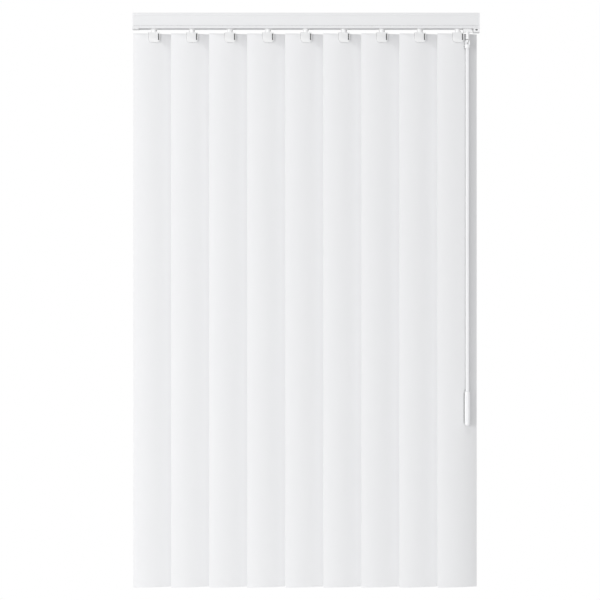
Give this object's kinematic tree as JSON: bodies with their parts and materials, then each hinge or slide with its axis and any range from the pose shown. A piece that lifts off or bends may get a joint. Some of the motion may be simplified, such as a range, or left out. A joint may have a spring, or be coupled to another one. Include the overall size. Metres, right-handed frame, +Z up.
{
  "type": "vertical blind",
  "caption": "White vertical blind with curved hard vanes hung from a slim headrail, opened, closed and drawn aside by one hanging wand.",
  "frame": {"origin": "middle of the four ceiling holes, on the top face of the two ceiling brackets", "axes": "+X along the headrail to the right as seen from the room, -Y towards the room, +Z up"},
  "size_m": [0.735, 0.0394, 1.216],
  "materials": {
    "painted_rail": "white powder coat, satin",
    "white_cap": "moulded white, fine texture",
    "dark_stopper": "moulded black, matt",
    "zinc_steel": "bright zinc plate",
    "rod_aluminium": "mill finish extrusion",
    "white_acetal": "moulded white, smooth",
    "natural_acetal": "moulded natural white, smooth",
    "wand_plastic": "extruded white, satin",
    "vane_pvc": "white, fine embossed grain",
    "spring_steel": "bright rolled strip"
  },
  "bodies": {
    "frame": {"headrail": "painted_rail", "end_cap_left": "white_cap", "end_cap_right": "white_cap", "cap_stopper": "dark_stopper", "bracket_left": "zinc_steel", "bracket_right": "zinc_steel", "carrier_1": "natural_acetal", "spacer_1": "spring_steel"},
    "carriage_2": {"carrier_2": "natural_acetal", "spacer_2": "spring_steel"},
    "carriage_3": {"carrier_3": "natural_acetal", "spacer_3": "spring_steel"},
    "carriage_4": {"carrier_4": "natural_acetal", "spacer_4": "spring_steel"},
    "carriage_5": {"carrier_5": "natural_acetal", "spacer_5": "spring_steel"},
    "carriage_6": {"carrier_6": "natural_acetal", "spacer_6": "spring_steel"},
    "carriage_7": {"carrier_7": "natural_acetal", "spacer_7": "spring_steel"},
    "carriage_8": {"carrier_8": "natural_acetal", "spacer_8": "spring_steel"},
    "lead_carriage": {"carrier_9": "natural_acetal", "wand_carrier": "white_acetal"},
    "hung_vane_1": {"stem_1": "white_acetal", "vane_1": "vane_pvc"},
    "worm_1": {"worm_1": "natural_acetal"},
    "hung_vane_2": {"stem_2": "white_acetal", "vane_2": "vane_pvc"},
    "worm_2": {"worm_2": "natural_acetal"},
    "hung_vane_3": {"stem_3": "white_acetal", "vane_3": "vane_pvc"},
    "worm_3": {"worm_3": "natural_acetal"},
    "hung_vane_4": {"stem_4": "white_acetal", "vane_4": "vane_pvc"},
    "worm_4": {"worm_4": "natural_acetal"},
    "hung_vane_5": {"stem_5": "white_acetal", "vane_5": "vane_pvc"},
    "worm_5": {"worm_5": "natural_acetal"},
    "hung_vane_6": {"stem_6": "white_acetal", "vane_6": "vane_pvc"},
    "worm_6": {"worm_6": "natural_acetal"},
    "hung_vane_7": {"stem_7": "white_acetal", "vane_7": "vane_pvc"},
    "worm_7": {"worm_7": "natural_acetal"},
    "hung_vane_8": {"stem_8": "white_acetal", "vane_8": "vane_pvc"},
    "worm_8": {"worm_8": "natural_acetal"},
    "hung_vane_9": {"stem_9": "white_acetal", "vane_9": "vane_pvc"},
    "worm_9": {"worm_9": "natural_acetal"},
    "tilt_rod": {"tilt_rod": "rod_aluminium"},
    "wand_gear": {"wand_gear": "natural_acetal"},
    "wand_spindle": {"wand_spindle": "white_acetal"},
    "wand": {"wand_eye": "wand_plastic", "wand_rod": "wand_plastic", "wand_grip": "wand_plastic"}
  },
  "joints": [
    {"name": "traverse", "type": "slide", "parent": "frame", "child": "lead_carriage", "axis": [1, 0, 0], "range_m": [-0.488, 0]},
    {"name": "traverse_2", "type": "slide", "parent": "frame", "child": "carriage_2", "axis": [1, 0, 0], "range_m": [-0.061, 0]},
    {"name": "traverse_3", "type": "slide", "parent": "frame", "child": "carriage_3", "axis": [1, 0, 0], "range_m": [-0.122, 0]},
    {"name": "traverse_4", "type": "slide", "parent": "frame", "child": "carriage_4", "axis": [1, 0, 0], "range_m": [-0.183, 0]},
    {"name": "traverse_5", "type": "slide", "parent": "frame", "child": "carriage_5", "axis": [1, 0, 0], "range_m": [-0.244, 0]},
    {"name": "traverse_6", "type": "slide", "parent": "frame", "child": "carriage_6", "axis": [1, 0, 0], "range_m": [-0.305, 0]},
    {"name": "traverse_7", "type": "slide", "parent": "frame", "child": "carriage_7", "axis": [1, 0, 0], "range_m": [-0.366, 0]},
    {"name": "traverse_8", "type": "slide", "parent": "frame", "child": "carriage_8", "axis": [1, 0, 0], "range_m": [-0.427, 0]},
    {"name": "tilt", "type": "hinge", "parent": "frame", "child": "hung_vane_1", "pos_m": [-0.322, 0, -0.03], "axis": [0, 0, 1], "range_deg": [0, 144]},
    {"name": "tilt_2", "type": "hinge", "parent": "carriage_2", "child": "hung_vane_2", "pos_m": [-0.2415, 0, -0.03], "axis": [0, 0, 1], "range_deg": [0, 144]},
    {"name": "tilt_3", "type": "hinge", "parent": "carriage_3", "child": "hung_vane_3", "pos_m": [-0.161, 0, -0.03], "axis": [0, 0, 1], "range_deg": [0, 144]},
    {"name": "tilt_4", "type": "hinge", "parent": "carriage_4", "child": "hung_vane_4", "pos_m": [-0.0805, 0, -0.03], "axis": [0, 0, 1], "range_deg": [0, 144]},
    {"name": "tilt_5", "type": "hinge", "parent": "carriage_5", "child": "hung_vane_5", "pos_m": [0, 0, -0.03], "axis": [0, 0, 1], "range_deg": [0, 144]},
    {"name": "tilt_6", "type": "hinge", "parent": "carriage_6", "child": "hung_vane_6", "pos_m": [0.0805, 0, -0.03], "axis": [0, 0, 1], "range_deg": [0, 144]},
    {"name": "tilt_7", "type": "hinge", "parent": "carriage_7", "child": "hung_vane_7", "pos_m": [0.161, 0, -0.03], "axis": [0, 0, 1], "range_deg": [0, 144]},
    {"name": "tilt_8", "type": "hinge", "parent": "carriage_8", "child": "hung_vane_8", "pos_m": [0.2415, 0, -0.03], "axis": [0, 0, 1], "range_deg": [0, 144]},
    {"name": "tilt_9", "type": "hinge", "parent": "lead_carriage", "child": "hung_vane_9", "pos_m": [0.322, 0, -0.03], "axis": [0, 0, 1], "range_deg": [0, 144]},
    {"name": "worm_turn_1", "type": "hinge", "parent": "frame", "child": "worm_1", "pos_m": [-0.322, 0.0099, -0.0247], "axis": [1, 0, 0], "range_deg": [0, 2304]},
    {"name": "worm_turn_2", "type": "hinge", "parent": "carriage_2", "child": "worm_2", "pos_m": [-0.2415, 0.0099, -0.0247], "axis": [1, 0, 0], "range_deg": [0, 2304]},
    {"name": "worm_turn_3", "type": "hinge", "parent": "carriage_3", "child": "worm_3", "pos_m": [-0.161, 0.0099, -0.0247], "axis": [1, 0, 0], "range_deg": [0, 2304]},
    {"name": "worm_turn_4", "type": "hinge", "parent": "carriage_4", "child": "worm_4", "pos_m": [-0.0805, 0.0099, -0.0247], "axis": [1, 0, 0], "range_deg": [0, 2304]},
    {"name": "worm_turn_5", "type": "hinge", "parent": "carriage_5", "child": "worm_5", "pos_m": [0, 0.0099, -0.0247], "axis": [1, 0, 0], "range_deg": [0, 2304]},
    {"name": "worm_turn_6", "type": "hinge", "parent": "carriage_6", "child": "worm_6", "pos_m": [0.0805, 0.0099, -0.0247], "axis": [1, 0, 0], "range_deg": [0, 2304]},
    {"name": "worm_turn_7", "type": "hinge", "parent": "carriage_7", "child": "worm_7", "pos_m": [0.161, 0.0099, -0.0247], "axis": [1, 0, 0], "range_deg": [0, 2304]},
    {"name": "worm_turn_8", "type": "hinge", "parent": "carriage_8", "child": "worm_8", "pos_m": [0.2415, 0.0099, -0.0247], "axis": [1, 0, 0], "range_deg": [0, 2304]},
    {"name": "worm_turn_9", "type": "hinge", "parent": "lead_carriage", "child": "worm_9", "pos_m": [0.322, 0.0099, -0.0247], "axis": [1, 0, 0], "range_deg": [0, 2304]},
    {"name": "rod_turn", "type": "hinge", "parent": "frame", "child": "tilt_rod", "pos_m": [0, 0.0099, -0.0247], "axis": [1, 0, 0], "range_deg": [0, 2304]},
    {"name": "wand_gear_turn", "type": "hinge", "parent": "lead_carriage", "child": "wand_gear", "pos_m": [0.3425, 0.0099, -0.0247], "axis": [1, 0, 0], "range_deg": [0, 2304]},
    {"name": "wand_turn", "type": "hinge", "parent": "lead_carriage", "child": "wand_spindle", "pos_m": [0.3425, 0, -0.055], "axis": [0, 0, 1], "range_deg": [0, 2304]},
    {"name": "wand_swing", "type": "hinge", "parent": "wand_spindle", "child": "wand", "pos_m": [0.3425, 0, -0.0609], "axis": [0, -1, 0], "range_deg": [0, 50]}
  ],
  "couplings": [
    {"joint": "traverse_2", "follows": "traverse", "ratio": 0.125},
    {"joint": "traverse_3", "follows": "traverse", "ratio": 0.25},
    {"joint": "traverse_4", "follows": "traverse", "ratio": 0.375},
    {"joint": "traverse_5", "follows": "traverse", "ratio": 0.5},
    {"joint": "traverse_6", "follows": "traverse", "ratio": 0.625},
    {"joint": "traverse_7", "follows": "traverse", "ratio": 0.75},
    {"joint": "traverse_8", "follows": "traverse", "ratio": 0.875},
    {"joint": "tilt_2", "follows": "tilt", "ratio": 1},
    {"joint": "tilt_3", "follows": "tilt", "ratio": 1},
    {"joint": "tilt_4", "follows": "tilt", "ratio": 1},
    {"joint": "tilt_5", "follows": "tilt", "ratio": 1},
    {"joint": "tilt_6", "follows": "tilt", "ratio": 1},
    {"joint": "tilt_7", "follows": "tilt", "ratio": 1},
    {"joint": "tilt_8", "follows": "tilt", "ratio": 1},
    {"joint": "tilt_9", "follows": "tilt", "ratio": 1},
    {"joint": "worm_turn_1", "follows": "tilt", "ratio": 16},
    {"joint": "worm_turn_2", "follows": "tilt", "ratio": 16},
    {"joint": "worm_turn_3", "follows": "tilt", "ratio": 16},
    {"joint": "worm_turn_4", "follows": "tilt", "ratio": 16},
    {"joint": "worm_turn_5", "follows": "tilt", "ratio": 16},
    {"joint": "worm_turn_6", "follows": "tilt", "ratio": 16},
    {"joint": "worm_turn_7", "follows": "tilt", "ratio": 16},
    {"joint": "worm_turn_8", "follows": "tilt", "ratio": 16},
    {"joint": "worm_turn_9", "follows": "tilt", "ratio": 16},
    {"joint": "rod_turn", "follows": "tilt", "ratio": 16},
    {"joint": "wand_gear_turn", "follows": "tilt", "ratio": 16},
    {"joint": "wand_turn", "follows": "tilt", "ratio": 16}
  ]
}
